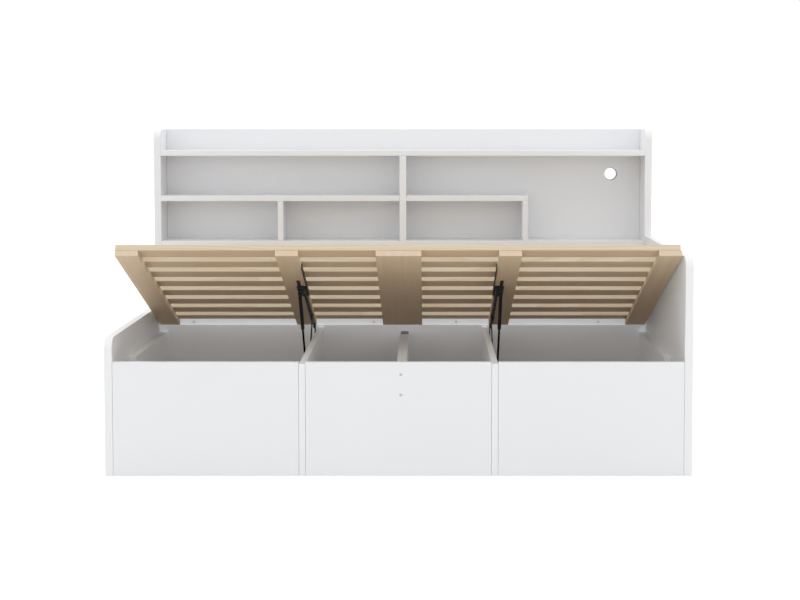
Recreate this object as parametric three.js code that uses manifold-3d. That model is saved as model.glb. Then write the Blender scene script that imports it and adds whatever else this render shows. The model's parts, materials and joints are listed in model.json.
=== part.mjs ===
// Daybed with a storage headboard along its back and a slatted base that lifts on gas struts.
// Millimetres, +Z up. X runs along the bed, Y from its open front to the wall behind it.
// The base is shown raised, as a person leaves it to reach the storage bays.
import * as THREE from 'three';
import { mergeVertices } from 'three/addons/utils/BufferGeometryUtils.js';
import Module from 'manifold-3d';

const wasm = await Module();
wasm.setup();

// Whole bed
const BED_LENGTH = 2000;
const FRAME_DEPTH = 1020; // open front to the face of the headboard
const SHELF_DEPTH = 150;
const HEADBOARD_HEIGHT = 1175;
const LOW_END_HEIGHT = 472.5;
const HIGH_END_OVER_SHELF = 21; // top of the tall end panel above the lowest shelf
const END_CORNER_RADIUS = 40;
const FRONT_HEIGHT = 390;

// Boards
const END_THICKNESS = 27;
const BOARD_THICKNESS = 22;
const BACK_PANEL_THICKNESS = 18;
const FLOOR_PANEL_THICKNESS = 9;
const FLOOR_PANEL_LIFT = 10;
const SEAM = 0.3; // gap between pieces that are fastened together
const PANEL_REVEAL = 0.8; // shadow line beside each front panel
const EDGE_BREAK = 0.8; // chamfer on every board edge
const BAY_COUNT = 3;

// Headboard
const TOP_LIP = 84; // side panels above the top shelf
const COMPARTMENT_HEIGHT = 160;
const CENTRE_DIVIDER_THICKNESS = 27;
const SIDE_DIVIDER_OFFSET = 493; // middle of the bed to the middle of a small divider
const CABLE_HOLE_RADIUS = 26.5;
const CABLE_HOLE_FROM_SIDE = 121;
const CABLE_HOLE_BELOW_SHELF = 77;

// Supports under the base
const RAIL_SEAT_DROP = 25; // top of the front panels to the seats of the rails
const CLEAT_THICKNESS = 27;
const CLEAT_HEIGHT = 120;
const CLEAT_SETBACK = 268; // front panel to the front end of a cleat
const CLEAT_LEG_WIDTH = 92;
const BEAM_THICKNESS = 34;
const BEAM_HEIGHT = 120;
const BEAM_OFFSET = 8; // beam beside the middle of the bed

// Slatted base
const RAIL_WIDTH = 78;
const CENTRE_RAIL_WIDTH = 156;
const RAIL_THICKNESS = 20;
const SLAT_WIDTH = 72.5;
const FRONT_SLAT_WIDTH = 84;
const BACK_SLAT_WIDTH = 55;
const SLAT_THICKNESS = 20;
const SLAT_COUNT = 8;
const SLAT_SETBACK = 4; // slat ends inside the outer edge of the right-hand rail
const BACK_SLAT_SETBACK = 18.4; // back slat inside the back ends of the rails
const TIMBER_ROUND = 1;
const BASE_SIDE_GAP = 7; // base to the end panels
const BASE_EDGE_GAP = 3; // base to the front panels and the back board
const BASE_REST_GAP = 0.3; // lowered rails to their seats
const PARTITION_RAIL_GAP = 4;

// Raised place of the base, measured from its lowered place
const OPEN_ANGLE = 21.28; // degrees
const OPEN_RISE = 31.7; // of its lower back edge
const OPEN_SHIFT = 56.4; // of its lower back edge, towards the front

// Lift mechanism, one on the outer side of each partition
const PLATE_THICKNESS = 3;
const PLATE_MARGIN = 17; // metal round a pivot of the base plate
const LINK_THICKNESS = 4;
const LINK_GAP = 0.5;
const LINK_BASE_RADIUS = 12;
const LINK_TIP_RADIUS = 10;
const PIN_RADIUS = 4;
const PIN_CLEARANCE = 0.35;
const PIN_HEAD_RADIUS = 7;
const PIN_HEAD_THICKNESS = 2;
const PLATE_HOLE_RADIUS = 2.5;
const PLATE_HOLE_SHARE = 0.3; // of the way from one pivot of the plate to the next
const FRONT_PIVOT_SETBACK = 205; // along the base from its back edge
const REAR_PIVOT_SETBACK = 55;
const STRUT_PIVOT_SETBACK = 570;
const PIVOT_DROP = 17; // below the underside of the rails
const BASE_PIVOT_DROP = 43; // below the rail seats
const STRUT_FOOT_DROP = 115; // below the rail seats
const STRUT_FOOT_SETBACK = 308; // from the back board
const STRUT_STANDOFF = 24; // base plate to the middle plane of a strut
const FLANGE_THICKNESS = 3;
const FLANGE_WIDTH = 30; // beside the strut
const FLANGE_STRIP_WIDTH = 12; // behind it
const FLANGE_WIDE_REACH = 110; // strut pivot to the back end of the wide part
const FLANGE_SHOULDER = 15; // strut pivot to the start of the tongue
const FLANGE_TIP_REACH = 84; // strut pivot to the middle of the tip
const FLANGE_TIP_RADIUS = 6;
const FLANGE_END_MARGIN = 30; // past the rear pivot
const FLANGE_EAR_RADIUS = 12;
const FLANGE_WEB_DEPTH = 14;
const FLANGE_HOLE_RADIUS = 2.5;
const LEG_THICKNESS = 2.4; // upright leg on the inner side of the rail
const LEG_HEIGHT = 16;
const LEG_FRONT_DEPTH = 150; // from the front edge of the base

// Gas struts
const CYLINDER_RADIUS = 7;
const CYLINDER_LENGTH = 200; // upper pivot to the open end
const CYLINDER_NECK = 12; // upper pivot to the tube
const CYLINDER_WALL = 6; // end wall behind the neck
const CYLINDER_LIP = 1.2;
const ROD_RADIUS = 4;
const ROD_CLEARANCE = 0.4;
const ROD_ENGAGEMENT = 15; // rod still inside the raised strut
const EYE_RADIUS = 8;
const EYE_WIDTH = 8;

// Facets
const CORNER_STEPS = 6;
const SMALL_STEPS = 3;
const TIMBER_STEPS = 1;
const PIN_SIDES = 18;
const OVERRUN = 1; // what a cut or a join reaches past a face

// Derived places
const HALF_LENGTH = BED_LENGTH / 2;
const INNER_HALF = HALF_LENGTH - END_THICKNESS;
const INNER_LENGTH = 2 * INNER_HALF;
const TOTAL_DEPTH = FRAME_DEPTH + SHELF_DEPTH + BACK_PANEL_THICKNESS;
const BACK_PANEL_FRONT = FRAME_DEPTH + SHELF_DEPTH;
const BACK_BOARD_FRONT = FRAME_DEPTH - SEAM - BOARD_THICKNESS;
const BAY_WIDTH = (INNER_LENGTH - (BAY_COUNT - 1) * BOARD_THICKNESS) / BAY_COUNT;
const PARTITION_INNER = BAY_WIDTH / 2;
const PARTITION_OUTER = PARTITION_INNER + BOARD_THICKNESS;
const RAIL_SEAT_HEIGHT = FRONT_HEIGHT - RAIL_SEAT_DROP;
const PARTITION_HEIGHT = RAIL_SEAT_HEIGHT + RAIL_THICKNESS;
const FLOOR_PANEL_TOP = FLOOR_PANEL_LIFT + FLOOR_PANEL_THICKNESS;
const TOP_SHELF_TOP = HEADBOARD_HEIGHT - TOP_LIP;
const TOP_SHELF_BOTTOM = TOP_SHELF_TOP - BOARD_THICKNESS;
const MIDDLE_SHELF_TOP = TOP_SHELF_BOTTOM - COMPARTMENT_HEIGHT;
const MIDDLE_SHELF_BOTTOM = MIDDLE_SHELF_TOP - BOARD_THICKNESS;
const BOTTOM_SHELF_TOP = MIDDLE_SHELF_BOTTOM - COMPARTMENT_HEIGHT;
const BOTTOM_SHELF_BOTTOM = BOTTOM_SHELF_TOP - BOARD_THICKNESS;
const HIGH_END_HEIGHT = BOTTOM_SHELF_TOP + HIGH_END_OVER_SHELF;
const HALF_DIVIDER = CENTRE_DIVIDER_THICKNESS / 2;
const CABLE_HOLE_X = INNER_HALF - CABLE_HOLE_FROM_SIDE;
const CABLE_HOLE_Z = TOP_SHELF_BOTTOM - CABLE_HOLE_BELOW_SHELF;
const BASE_HALF = INNER_HALF - BASE_SIDE_GAP;
const BASE_FRONT = BOARD_THICKNESS + BASE_EDGE_GAP;
const BASE_DEPTH = BACK_BOARD_FRONT - BASE_EDGE_GAP - BASE_FRONT;
const MIDDLE_RAIL_INNER = PARTITION_OUTER + PARTITION_RAIL_GAP;
const SLAT_BOTTOM = RAIL_THICKNESS + SEAM;
const SLAT_START = FRONT_SLAT_WIDTH - SLAT_WIDTH;
const BACK_SLAT_START = BASE_DEPTH - BACK_SLAT_SETBACK - BACK_SLAT_WIDTH;
const SLAT_PITCH = (BACK_SLAT_START - SLAT_START) / (SLAT_COUNT - 1);
const FRONT_PIVOT_DEPTH = BASE_DEPTH - FRONT_PIVOT_SETBACK;
const REAR_PIVOT_DEPTH = BASE_DEPTH - REAR_PIVOT_SETBACK;
const STRUT_PIVOT_DEPTH = BASE_DEPTH - STRUT_PIVOT_SETBACK;
const PLATE_INNER = PARTITION_OUTER + SEAM;
const PLATE_OUTER = PLATE_INNER + PLATE_THICKNESS;
const LINK_INNER = PLATE_OUTER + LINK_GAP;
const LINK_OUTER = LINK_INNER + LINK_THICKNESS;
const FLANGE_INNER = LINK_OUTER + LINK_GAP;
const WEB_OUTER = FLANGE_INNER + FLANGE_THICKNESS;
const FLANGE_OUTER = FLANGE_INNER + FLANGE_WIDTH;
const STRIP_OUTER = FLANGE_INNER + FLANGE_STRIP_WIDTH;
const LEG_OUTER = MIDDLE_RAIL_INNER - SEAM;
const LEG_INNER = LEG_OUTER - LEG_THICKNESS;
const STRUT_PLANE = PLATE_OUTER + STRUT_STANDOFF;

const AXES = {
  x: new THREE.Vector3(1, 0, 0),
  y: new THREE.Vector3(0, 1, 0),
  z: new THREE.Vector3(0, 0, 1),
};
const BASES = {
  x: [AXES.y, AXES.z, AXES.x],
  y: [AXES.x, AXES.z, AXES.y.clone().negate()],
  z: [AXES.x, AXES.y, AXES.z],
};

const laminate = () => new THREE.MeshStandardMaterial({ color: 0xeeeeec, roughness: 0.5 });
const fibreboard = () => new THREE.MeshStandardMaterial({ color: 0x6b5038, roughness: 0.75 });
const pine = () => new THREE.MeshStandardMaterial({ color: 0xdcc3a0, roughness: 0.65 });
const blackSteel = () => new THREE.MeshStandardMaterial({
  color: 0x1c1c1e, roughness: 0.4, metalness: 0.7,
});

const bed = new THREE.Group();
bed.position.y = -TOTAL_DEPTH / 2;

// Solids

function closed(geometry) {
  const bare = geometry.clone();
  bare.deleteAttribute('normal');
  bare.deleteAttribute('uv');
  return mergeVertices(bare);
}

function toSolid(geometry) {
  const merged = closed(geometry);
  return new wasm.Manifold(new wasm.Mesh({
    numProp: 3,
    vertProperties: new Float32Array(merged.attributes.position.array),
    triVerts: new Uint32Array(merged.index.array),
  }));
}

function toGeometry(solid) {
  const cut = solid.getMesh();
  const geometry = new THREE.BufferGeometry();
  geometry.setAttribute('position', new THREE.BufferAttribute(new Float32Array(cut.vertProperties), 3));
  geometry.setIndex(new THREE.BufferAttribute(new Uint32Array(cut.triVerts), 1));
  geometry.computeVertexNormals();
  return geometry;
}

function joined(geometries) {
  return geometries.map(toSolid).reduce((whole, solid) => whole.add(solid));
}

function cutBy(solid, geometries) {
  return geometries.map(toSolid).reduce((whole, cutter) => whole.subtract(cutter), solid);
}

function mirrored(geometry) {
  const flipped = closed(geometry).applyMatrix4(new THREE.Matrix4().makeScale(-1, 1, 1));
  const corners = flipped.index.array;
  for (let i = 0; i < corners.length; i += 3) {
    [corners[i], corners[i + 1]] = [corners[i + 1], corners[i]];
  }
  flipped.computeVertexNormals();
  return flipped;
}

function add(name, geometry, material, place = {}) {
  const mesh = new THREE.Mesh(geometry, material);
  mesh.name = name;
  mesh.position.set(place.x ?? 0, place.y ?? 0, place.z ?? 0);
  mesh.rotation.x = place.turn ?? 0;
  (place.group ?? bed).add(mesh);
  return mesh;
}

// Outlines

function corner(shape, x, y, radius, quarter) {
  const start = quarter * Math.PI / 2;
  if (radius > EDGE_BREAK) {
    shape.absarc(x, y, radius, start, start + Math.PI / 2, false);
    return;
  }
  shape.lineTo(x + radius * Math.cos(start), y + radius * Math.sin(start));
  shape.lineTo(x - radius * Math.sin(start), y + radius * Math.cos(start));
}

// A rectangle about the origin; radii run from the lower right corner, anticlockwise.
function rectangle(width, height, radii) {
  const [x, y] = [width / 2, height / 2];
  const [lowRight, highRight, highLeft, lowLeft] = radii;
  const shape = new THREE.Shape();
  shape.moveTo(-x, -y + lowLeft);
  corner(shape, -x + lowLeft, -y + lowLeft, lowLeft, 2);
  corner(shape, x - lowRight, -y + lowRight, lowRight, 3);
  corner(shape, x - highRight, y - highRight, highRight, 0);
  corner(shape, -x + highLeft, y - highLeft, highLeft, 1);
  shape.closePath();
  return shape;
}

function circle(x, y, radius) {
  const path = new THREE.Path();
  path.absarc(x, y, radius, 0, Math.PI, true);
  path.absarc(x, y, radius, Math.PI, 2 * Math.PI, true);
  return path;
}

// The belt round discs that stand anticlockwise, each given as a centre and a radius.
function belt(discs) {
  const shape = new THREE.Shape();
  const outward = discs.map((disc, i) => {
    const next = discs[(i + 1) % discs.length];
    const run = next.at.clone().sub(disc.at);
    return run.angle() - Math.PI / 2 - Math.asin((next.radius - disc.radius) / run.length());
  });
  discs.forEach((disc, i) => {
    const start = outward[(i + discs.length - 1) % discs.length];
    const turn = THREE.MathUtils.euclideanModulo(outward[i] - start, 2 * Math.PI);
    shape.absarc(disc.at.x, disc.at.y, disc.radius, start, start + turn, false);
  });
  shape.closePath();
  return shape;
}

// Extrudes an outline about its own middle plane and turns it so that it runs along an axis.
function extruded(shape, length, axis, steps, bevel = EDGE_BREAK) {
  const geometry = new THREE.ExtrudeGeometry(shape, {
    depth: length - 2 * bevel,
    bevelEnabled: bevel > 0,
    bevelThickness: bevel,
    bevelSize: bevel,
    bevelOffset: -bevel,
    bevelSegments: 1,
    curveSegments: steps,
  });
  geometry.translate(0, 0, bevel - length / 2);
  return geometry.applyMatrix4(new THREE.Matrix4().makeBasis(...BASES[axis]));
}

function rod(radius, from, to, axis = 'x', sides = PIN_SIDES) {
  const geometry = new THREE.CylinderGeometry(radius, radius, to - from, sides);
  geometry.translate(0, (from + to) / 2, 0);
  if (axis === 'x') geometry.rotateZ(-Math.PI / 2);
  return geometry;
}

function middle(range) {
  return (range[0] + range[1]) / 2;
}

function span(range) {
  return range[1] - range[0];
}

// A board that fills three ranges, extruded through its thickness.
function boardGeometry(ranges, through, radii, holes = []) {
  const [u, v] = { x: ['y', 'z'], y: ['x', 'z'], z: ['x', 'y'] }[through];
  const shape = rectangle(span(ranges[u]), span(ranges[v]), radii);
  holes.forEach((hole) => {
    shape.holes.push(circle(hole.at[0] - middle(ranges[u]), hole.at[1] - middle(ranges[v]), hole.radius));
  });
  return extruded(shape, span(ranges[through]), through, CORNER_STEPS);
}

function addBoard(name, x, y, z, through, options = {}) {
  const plain = [EDGE_BREAK, EDGE_BREAK, EDGE_BREAK, EDGE_BREAK];
  const geometry = boardGeometry({ x, y, z }, through, options.radii ?? plain, options.holes);
  const material = options.material ?? laminate();
  return add(name, geometry, material, { x: middle(x), y: middle(y), z: middle(z) });
}

// Bed box

function sidePanel(name, side, depths, height) {
  const x = side < 0 ? [-HALF_LENGTH, -INNER_HALF] : [INNER_HALF, HALF_LENGTH];
  const radii = [EDGE_BREAK, EDGE_BREAK, END_CORNER_RADIUS, EDGE_BREAK];
  addBoard(name, x, depths, [0, height], 'x', { radii });
}

function addFrontPanels() {
  const y = [0, BOARD_THICKNESS];
  const z = [0, FRONT_HEIGHT];
  const outer = [PARTITION_OUTER + PANEL_REVEAL, INNER_HALF - PANEL_REVEAL];
  const inner = PARTITION_INNER - PANEL_REVEAL;
  addBoard('front_panel_left', [-outer[1], -outer[0]], y, z, 'y');
  addBoard('front_panel_centre', [-inner, inner], y, z, 'y');
  addBoard('front_panel_right', outer, y, z, 'y');
}

function addPartition(name, side) {
  const x = side < 0 ? [-PARTITION_OUTER, -PARTITION_INNER] : [PARTITION_INNER, PARTITION_OUTER];
  addBoard(name, x, [0, BACK_BOARD_FRONT - SEAM], [0, PARTITION_HEIGHT], 'x');
}

function addFloorPanels() {
  const y = [BOARD_THICKNESS + SEAM, BACK_BOARD_FRONT - SEAM];
  const z = [FLOOR_PANEL_LIFT, FLOOR_PANEL_TOP];
  const outer = [PARTITION_OUTER + SEAM, INNER_HALF - SEAM];
  const inner = PARTITION_INNER - SEAM;
  const addPanel = (name, x) => addBoard(name, x, y, z, 'z', { material: fibreboard() });
  addPanel('floor_panel_left', [-outer[1], -outer[0]]);
  addPanel('floor_panel_centre', [-inner, inner]);
  addPanel('floor_panel_right', outer);
}

// Carries an outer rail: a long board against the end panel, with a leg down its back end.
function cleatOutline() {
  const front = BOARD_THICKNESS + CLEAT_SETBACK;
  const back = BACK_BOARD_FRONT - SEAM;
  const leg = back - CLEAT_LEG_WIDTH;
  const foot = FLOOR_PANEL_TOP + SEAM;
  const lower = RAIL_SEAT_HEIGHT - CLEAT_HEIGHT;
  const shape = new THREE.Shape();
  shape.moveTo(front, lower);
  shape.lineTo(leg, lower);
  shape.lineTo(leg, foot);
  shape.lineTo(back, foot);
  shape.lineTo(back, RAIL_SEAT_HEIGHT);
  shape.lineTo(front, RAIL_SEAT_HEIGHT);
  shape.closePath();
  return shape;
}

function addCleat(name, side) {
  const geometry = extruded(cleatOutline(), CLEAT_THICKNESS, 'x', CORNER_STEPS);
  add(name, geometry, laminate(), { x: side * (INNER_HALF - SEAM - CLEAT_THICKNESS / 2) });
}

function addCentreBeam() {
  const x = [BEAM_OFFSET - BEAM_THICKNESS / 2, BEAM_OFFSET + BEAM_THICKNESS / 2];
  const y = [BOARD_THICKNESS + SEAM, BACK_BOARD_FRONT - SEAM];
  addBoard('centre_beam', x, y, [RAIL_SEAT_HEIGHT - BEAM_HEIGHT, RAIL_SEAT_HEIGHT], 'x');
}

function addBedBox() {
  const depths = [0, FRAME_DEPTH - SEAM];
  sidePanel('left_end_panel', -1, depths, LOW_END_HEIGHT);
  sidePanel('right_end_panel', 1, depths, HIGH_END_HEIGHT);
  addFrontPanels();
  addPartition('partition_left', -1);
  addPartition('partition_right', 1);
  const inner = INNER_HALF - SEAM;
  addBoard('back_board', [-inner, inner], [BACK_BOARD_FRONT, FRAME_DEPTH - SEAM], [0, FRONT_HEIGHT], 'y');
  addFloorPanels();
  addCleat('left_cleat', -1);
  addCleat('right_cleat', 1);
  addCentreBeam();
}

// Headboard

function addShelf(name, x, bottom) {
  addBoard(name, x, [FRAME_DEPTH, BACK_PANEL_FRONT - SEAM], [bottom, bottom + BOARD_THICKNESS], 'z');
}

function addDivider(name, centre, thickness, z) {
  const x = [centre - thickness / 2, centre + thickness / 2];
  addBoard(name, x, [FRAME_DEPTH, BACK_PANEL_FRONT - SEAM], z, 'x');
}

function addHeadboardPanels() {
  const inner = INNER_HALF - SEAM;
  const x = [-inner, inner];
  sidePanel('headboard_side_left', -1, [FRAME_DEPTH, TOTAL_DEPTH], HEADBOARD_HEIGHT);
  sidePanel('headboard_side_right', 1, [FRAME_DEPTH, TOTAL_DEPTH], HEADBOARD_HEIGHT);
  const cableHole = { at: [CABLE_HOLE_X, CABLE_HOLE_Z], radius: CABLE_HOLE_RADIUS };
  addBoard('headboard_back_panel', x, [BACK_PANEL_FRONT, TOTAL_DEPTH], [0, HEADBOARD_HEIGHT], 'y',
    { holes: [cableHole] });
  addBoard('headboard_lower_panel', x, [FRAME_DEPTH, FRAME_DEPTH + BOARD_THICKNESS],
    [0, BOTTOM_SHELF_BOTTOM - SEAM], 'y');
}

function addShelves() {
  const inner = INNER_HALF - SEAM;
  const beside = HALF_DIVIDER + SEAM;
  const shelfEnd = SIDE_DIVIDER_OFFSET + BOARD_THICKNESS / 2;
  addShelf('top_shelf', [-inner, inner], TOP_SHELF_BOTTOM);
  addShelf('middle_shelf_left', [-inner, -beside], MIDDLE_SHELF_BOTTOM);
  addShelf('middle_shelf_right', [beside, shelfEnd], MIDDLE_SHELF_BOTTOM);
  addShelf('bottom_shelf', [-inner, inner], BOTTOM_SHELF_BOTTOM);
}

function addDividers() {
  const tall = [BOTTOM_SHELF_TOP + SEAM, TOP_SHELF_BOTTOM - SEAM];
  const low = [BOTTOM_SHELF_TOP + SEAM, MIDDLE_SHELF_BOTTOM - SEAM];
  addDivider('centre_divider', 0, CENTRE_DIVIDER_THICKNESS, tall);
  addDivider('lower_left_divider', -SIDE_DIVIDER_OFFSET, BOARD_THICKNESS, low);
  addDivider('lower_right_divider', SIDE_DIVIDER_OFFSET, BOARD_THICKNESS, low);
}

// Slatted base

// Its lower front and back edges, seen from the side: Y, then Z.
const loweredEdge = new THREE.Vector2(BASE_FRONT, RAIL_SEAT_HEIGHT + BASE_REST_GAP);
const raisedBack = loweredEdge.clone().add(new THREE.Vector2(BASE_DEPTH - OPEN_SHIFT, OPEN_RISE));
const raisedTurn = -THREE.MathUtils.degToRad(OPEN_ANGLE);
const raisedEdge = turned(-BASE_DEPTH, 0).add(raisedBack);

function turned(depth, height) {
  return new THREE.Vector2(depth, height).rotateAround(new THREE.Vector2(), raisedTurn);
}

const base = new THREE.Group();
base.position.set(0, raisedEdge.x, raisedEdge.y);
base.rotation.x = raisedTurn;
bed.add(base);

function addTimber(name, x, y, z, along) {
  const section = along === 'x' ? [span(y), span(z)] : [span(x), span(z)];
  const radii = [TIMBER_ROUND, TIMBER_ROUND, TIMBER_ROUND, TIMBER_ROUND];
  const geometry = extruded(rectangle(...section, radii), span(along === 'x' ? x : y), along, TIMBER_STEPS);
  add(name, geometry, pine(), { x: middle(x), y: middle(y), z: middle(z), group: base });
}

function addRails() {
  const addRail = (name, x) => addTimber(name, x, [0, BASE_DEPTH], [0, RAIL_THICKNESS], 'y');
  const middleOuter = MIDDLE_RAIL_INNER + RAIL_WIDTH;
  addRail('rail_left_outer', [-BASE_HALF, RAIL_WIDTH - BASE_HALF]);
  addRail('rail_left_middle', [-middleOuter, -MIDDLE_RAIL_INNER]);
  addRail('rail_centre', [-CENTRE_RAIL_WIDTH / 2, CENTRE_RAIL_WIDTH / 2]);
  addRail('rail_right_middle', [MIDDLE_RAIL_INNER, middleOuter]);
  addRail('rail_right_outer', [BASE_HALF - RAIL_WIDTH, BASE_HALF]);
}

function addSlats() {
  const x = [-BASE_HALF, BASE_HALF - SLAT_SETBACK];
  const z = [SLAT_BOTTOM, SLAT_BOTTOM + SLAT_THICKNESS];
  for (let i = 0; i < SLAT_COUNT; i += 1) {
    const start = SLAT_START + i * SLAT_PITCH;
    const width = i === SLAT_COUNT - 1 ? BACK_SLAT_WIDTH : SLAT_WIDTH;
    addTimber(`slat_${i + 1}`, x, [i === 0 ? 0 : start, start + width], z, 'x');
  }
}

// Lift mechanism

// Where a point of the base lies, seen from the side, when the base is lowered or raised.
function lowered(depth) {
  return new THREE.Vector2(depth, -PIVOT_DROP).add(loweredEdge);
}

function raised(depth) {
  return turned(depth, -PIVOT_DROP).add(raisedEdge);
}

// A base pivot is as far from its moving pivot when the base is lowered as when it is raised.
function basePivot(depth) {
  const [low, high] = [lowered(depth), raised(depth)];
  const rise = high.clone().sub(low);
  const centre = high.clone().add(low).divideScalar(2);
  const height = RAIL_SEAT_HEIGHT - BASE_PIVOT_DROP;
  return new THREE.Vector2(centre.x - (height - centre.y) * rise.y / rise.x, height);
}

const frontBase = basePivot(FRONT_PIVOT_DEPTH);
const rearBase = basePivot(REAR_PIVOT_DEPTH);
const strutFootDepth = BACK_BOARD_FRONT - STRUT_FOOT_SETBACK;
const strutFoot = new THREE.Vector2(strutFootDepth, RAIL_SEAT_HEIGHT - STRUT_FOOT_DROP);
const strutTop = raised(STRUT_PIVOT_DEPTH);

function addSided(name, side, geometry, place) {
  add(name, side < 0 ? mirrored(geometry) : geometry, blackSteel(), place);
}

function at(geometry, point) {
  return geometry.translate(0, point.x, point.y);
}

// Screwed to the partition; it carries the fixed pivots of both links and the boss of the strut.
function basePlateGeometry() {
  const points = [strutFoot, rearBase, frontBase];
  const outline = belt(points.map((point) => ({ at: point, radius: PLATE_MARGIN })));
  points.forEach((point, i) => {
    const hole = point.clone().lerp(points[(i + 1) % points.length], PLATE_HOLE_SHARE);
    outline.holes.push(circle(hole.x, hole.y, PLATE_HOLE_RADIUS));
  });
  const plate = extruded(outline, PLATE_THICKNESS, 'x', SMALL_STEPS, 0);
  plate.translate(middle([PLATE_INNER, PLATE_OUTER]), 0, 0);
  const pins = [frontBase, rearBase].flatMap((point) => [
    at(rod(PIN_RADIUS, PLATE_INNER + OVERRUN, LINK_OUTER + LINK_GAP + OVERRUN), point),
    at(rod(PIN_HEAD_RADIUS, LINK_OUTER + LINK_GAP, LINK_OUTER + LINK_GAP + PIN_HEAD_THICKNESS), point),
  ]);
  const boss = at(rod(EYE_RADIUS, PLATE_INNER + OVERRUN, STRUT_PLANE - EYE_WIDTH / 2 - SEAM), strutFoot);
  return toGeometry(joined([plate, ...pins, boss]));
}

// Turns about its fixed pivot at the origin; its moving pivot lies along +Y.
function linkGeometry(length, tipHole) {
  const shape = belt([
    { at: new THREE.Vector2(0, 0), radius: LINK_BASE_RADIUS },
    { at: new THREE.Vector2(length, 0), radius: LINK_TIP_RADIUS },
  ]);
  shape.holes.push(circle(0, 0, PIN_RADIUS + PIN_CLEARANCE));
  if (tipHole) shape.holes.push(circle(length, 0, PIN_RADIUS + PIN_CLEARANCE));
  const link = extruded(shape, LINK_THICKNESS, 'x', SMALL_STEPS, 0);
  return link.translate(middle([LINK_INNER, LINK_OUTER]), 0, 0);
}

function addLink(name, side, from, to, tipHole) {
  const run = to.clone().sub(from);
  const place = { y: from.x, z: from.y, turn: Math.atan2(run.y, run.x) };
  addSided(name, side, linkGeometry(run.length(), tipHole), place);
}

// The upright web of the bracket: ears round its pivots, joined by a straight strip.
function bracketWeb(pivots) {
  const top = -SEAM;
  const ears = pivots.map((depth) => {
    const [back, front] = [depth + FLANGE_EAR_RADIUS, depth - FLANGE_EAR_RADIUS];
    const ear = belt([
      { at: new THREE.Vector2(depth, -PIVOT_DROP), radius: FLANGE_EAR_RADIUS },
      { at: new THREE.Vector2(back, top - FLANGE_THICKNESS), radius: FLANGE_THICKNESS },
      { at: new THREE.Vector2(front, top - FLANGE_THICKNESS), radius: FLANGE_THICKNESS },
    ]);
    const plate = extruded(ear, FLANGE_THICKNESS, 'x', SMALL_STEPS, 0);
    return plate.translate(middle([FLANGE_INNER, WEB_OUTER]), 0, 0);
  });
  return [...ears, block([FLANGE_INNER, WEB_OUTER], bracketRun(pivots), [top - FLANGE_WEB_DEPTH, top])];
}

function block(x, y, z) {
  const geometry = new THREE.BoxGeometry(span(x), span(y), span(z));
  return geometry.translate(middle(x), middle(y), middle(z));
}

function bracketRun(pivots) {
  return [pivots[0] - FLANGE_SHOULDER, pivots[pivots.length - 1] + FLANGE_END_MARGIN];
}

// The flat plate under the rail: a screwed tongue in front, wide beside the strut, and a strip behind.
function bracketFlange(pivots) {
  const [front, back] = bracketRun(pivots);
  const wideBack = pivots[0] + FLANGE_WIDE_REACH;
  const tip = pivots[0] - FLANGE_TIP_REACH;
  const neck = front - FLANGE_TIP_RADIUS;
  const inner = LEG_INNER + EDGE_BREAK;
  const shape = new THREE.Shape();
  shape.moveTo(inner, front);
  shape.lineTo(STRUT_PLANE - FLANGE_TIP_RADIUS, neck);
  shape.lineTo(STRUT_PLANE - FLANGE_TIP_RADIUS, tip);
  shape.absarc(STRUT_PLANE, tip, FLANGE_TIP_RADIUS, Math.PI, 2 * Math.PI, false);
  shape.lineTo(STRUT_PLANE + FLANGE_TIP_RADIUS, neck);
  shape.lineTo(FLANGE_OUTER, front);
  shape.lineTo(FLANGE_OUTER, wideBack);
  shape.lineTo(STRIP_OUTER, wideBack + FLANGE_STRIP_WIDTH);
  shape.lineTo(STRIP_OUTER, back);
  shape.lineTo(FLANGE_INNER, back);
  shape.lineTo(FLANGE_INNER, wideBack);
  shape.lineTo(inner, wideBack);
  shape.closePath();
  const holeRow = middle([WEB_OUTER, STRIP_OUTER]);
  shape.holes.push(circle(STRUT_PLANE, tip, FLANGE_HOLE_RADIUS));
  [pivots[1], pivots[2]].forEach((depth) => {
    shape.holes.push(circle(holeRow, depth - FLANGE_END_MARGIN, FLANGE_HOLE_RADIUS));
  });
  const plate = extruded(shape, FLANGE_THICKNESS, 'z', SMALL_STEPS, 0);
  return plate.translate(0, 0, -SEAM - FLANGE_THICKNESS / 2);
}

// An angle under the middle rail of its side, with the moving pivots in its upright web.
function bracketGeometry() {
  const pivots = [STRUT_PIVOT_DEPTH, FRONT_PIVOT_DEPTH, REAR_PIVOT_DEPTH];
  const place = (depth) => new THREE.Vector2(depth, -PIVOT_DROP);
  const head = (depth) => at(rod(PIN_HEAD_RADIUS, WEB_OUTER - OVERRUN, WEB_OUTER + PIN_HEAD_THICKNESS),
    place(depth));
  const linkPin = at(rod(PIN_RADIUS, LINK_INNER, WEB_OUTER - OVERRUN), place(FRONT_PIVOT_DEPTH));
  const eyeOuter = STRUT_PLANE + EYE_WIDTH / 2 + LINK_GAP;
  const strutPlace = place(STRUT_PIVOT_DEPTH);
  const strutPin = at(rod(PIN_RADIUS, FLANGE_INNER + OVERRUN, eyeOuter + OVERRUN), strutPlace);
  const strutHead = at(rod(PIN_HEAD_RADIUS, eyeOuter, eyeOuter + PIN_HEAD_THICKNESS), strutPlace);
  const legRun = [LEG_FRONT_DEPTH, STRUT_PIVOT_DEPTH + FLANGE_WIDE_REACH - EDGE_BREAK];
  const leg = block([LEG_INNER, LEG_OUTER], legRun, [-FLANGE_THICKNESS, LEG_HEIGHT]);
  return toGeometry(joined([
    ...bracketWeb(pivots), bracketFlange(pivots), leg,
    head(FRONT_PIVOT_DEPTH), head(REAR_PIVOT_DEPTH), linkPin, strutPin, strutHead,
  ]));
}

function lathe(profile) {
  return new THREE.LatheGeometry(profile.map(([r, y]) => new THREE.Vector2(r, y)), PIN_SIDES);
}

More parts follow.
